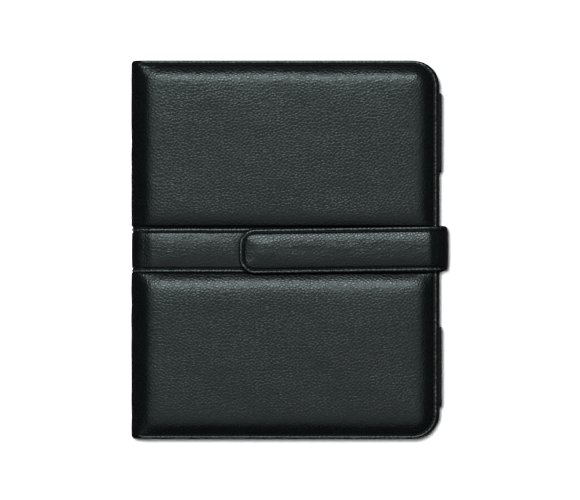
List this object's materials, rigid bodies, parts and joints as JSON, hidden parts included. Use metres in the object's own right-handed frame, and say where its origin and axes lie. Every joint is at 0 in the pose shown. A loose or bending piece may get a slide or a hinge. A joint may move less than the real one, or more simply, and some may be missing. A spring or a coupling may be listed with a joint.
{
  "type": "tablet case",
  "caption": "Black pebbled-leather portfolio case for a 9.7 inch tablet, with padded covers, a book spine, an inner holder and a strap with a magnetic snap.",
  "frame": {"origin": "middle of the footprint, strap fold included, in the plane that the closed case lies on", "axes": "+Z out through the front cover, +X towards the fore edge and the strap's fold, +Y towards the top edge; the spine is on the -X side"},
  "size_m": [0.213, 0.254, 0.0304],
  "materials": {
    "cover_leather": "pebbled grain, semi-matt black",
    "strap_leather": "pebbled grain, semi-matt black",
    "inner_leather": "fine grain, matt black",
    "lining": "brushed microfibre, charcoal",
    "board": "grey-brown pressed fibre board",
    "foam": "soft closed-cell foam",
    "snap_metal": "satin nickel plate",
    "thread": "waxed black sewing thread"
  },
  "bodies": {
    "back_cover": {"back_leather": "cover_leather", "back_foam_upper": "foam", "back_foam_lower": "foam", "back_board": "board", "back_lining": "lining", "back_band": "strap_leather", "holder_wall_top": "inner_leather", "holder_wall_bottom": "inner_leather", "fore_wall_upper": "inner_leather", "fore_wall_lower": "inner_leather", "holder_bezel": "inner_leather"},
    "spine": {"spine_leather": "cover_leather", "spine_board": "board", "spine_lining": "lining", "spine_band": "strap_leather"},
    "front_cover": {"front_leather": "cover_leather", "front_foam_upper": "foam", "front_foam_lower": "foam", "front_board": "board", "front_lining": "lining", "document_pocket": "inner_leather", "card_pocket": "inner_leather", "front_band": "strap_leather", "snap_socket": "snap_metal", "socket_washer": "snap_metal"},
    "strap_edge": {"strap_edge_leather": "strap_leather", "strap_edge_lining": "lining"},
    "strap_tab": {"strap_tab_leather": "strap_leather", "strap_tab_lining": "lining", "strap_stiffener": "board", "snap_stud": "snap_metal", "stud_washer": "snap_metal"}
  },
  "joints": [
    {"name": "spine_hinge", "type": "hinge", "parent": "back_cover", "child": "spine", "pos_m": [-0.10435, 0, 0.00535], "axis": [0, -1, 0], "range_deg": [0, 90]},
    {"name": "cover_hinge", "type": "hinge", "parent": "spine", "child": "front_cover", "pos_m": [-0.10435, 0, 0.02365], "axis": [0, -1, 0], "range_deg": [0, 90]},
    {"name": "strap_edge_fold", "type": "hinge", "parent": "back_cover", "child": "strap_edge", "pos_m": [0.10401, 0, 0.00249], "axis": [0, 1, 0], "range_deg": [0, 90], "deforming": ["strap_edge_leather", "strap_edge_lining"]},
    {"name": "strap_tab_fold", "type": "hinge", "parent": "strap_edge", "child": "strap_tab", "pos_m": [0.10401, 0, 0.02791], "axis": [0, 1, 0], "range_deg": [0, 90], "deforming": ["strap_tab_leather", "strap_tab_lining", "strap_stiffener"]}
  ]
}
